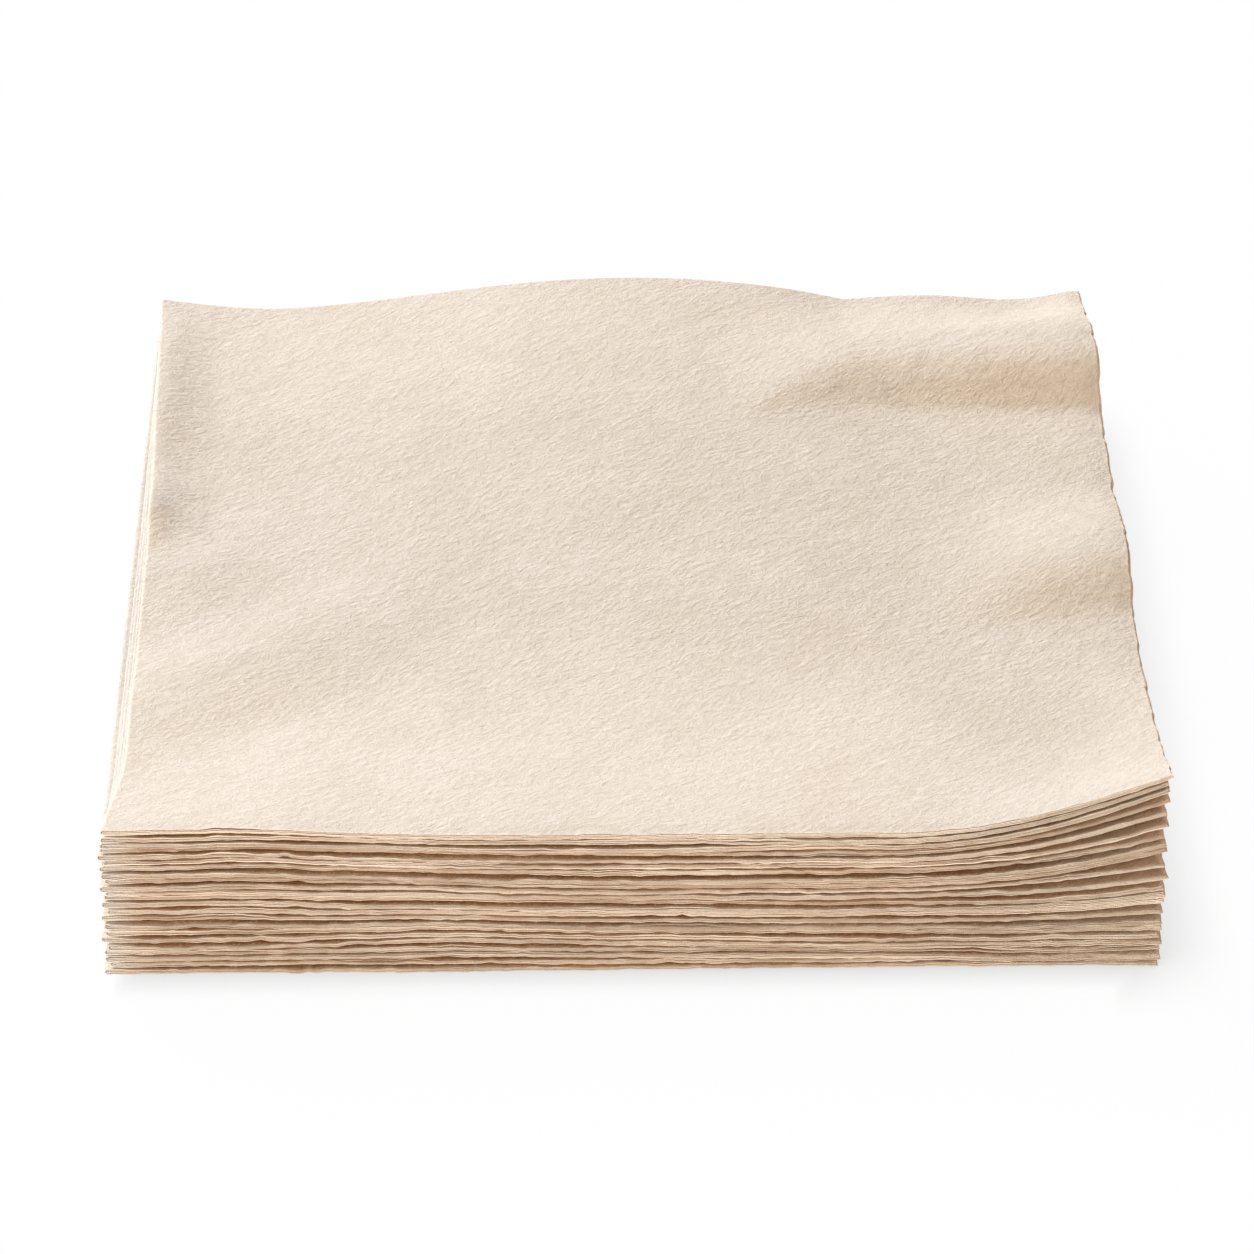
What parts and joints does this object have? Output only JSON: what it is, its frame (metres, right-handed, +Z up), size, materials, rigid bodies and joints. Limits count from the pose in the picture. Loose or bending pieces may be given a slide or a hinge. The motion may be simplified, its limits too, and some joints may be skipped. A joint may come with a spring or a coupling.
{
  "type": "stack of paper napkins",
  "caption": "Square stack of plain unbleached paper napkins, each a sheet folded twice, for table use, with the open corner fanned up and the top bulging at the back fold.",
  "frame": {"origin": "middle of the stack's footprint, on the surface it lies on", "axes": "+Z up, +X to the right towards the cut edges, +Y to the back towards the first fold; the last fold is on the left and the fanned corner is at the front right"},
  "size_m": [0.1291, 0.1291, 0.0271],
  "materials": {
    "kraft_tissue": "matt, finely embossed unbleached tissue"
  },
  "bodies": {
    "root": {"napkin_01": "kraft_tissue", "napkin_02": "kraft_tissue", "napkin_03": "kraft_tissue", "napkin_04": "kraft_tissue", "napkin_05": "kraft_tissue", "napkin_06": "kraft_tissue", "napkin_07": "kraft_tissue", "napkin_08": "kraft_tissue", "napkin_09": "kraft_tissue", "napkin_10": "kraft_tissue", "napkin_11": "kraft_tissue", "napkin_12": "kraft_tissue", "napkin_13": "kraft_tissue", "napkin_14": "kraft_tissue", "napkin_15": "kraft_tissue", "napkin_16": "kraft_tissue", "napkin_17": "kraft_tissue", "napkin_18": "kraft_tissue", "napkin_19": "kraft_tissue", "napkin_20": "kraft_tissue", "napkin_21": "kraft_tissue", "napkin_22": "kraft_tissue", "napkin_23": "kraft_tissue"}
  },
  "joints": []
}
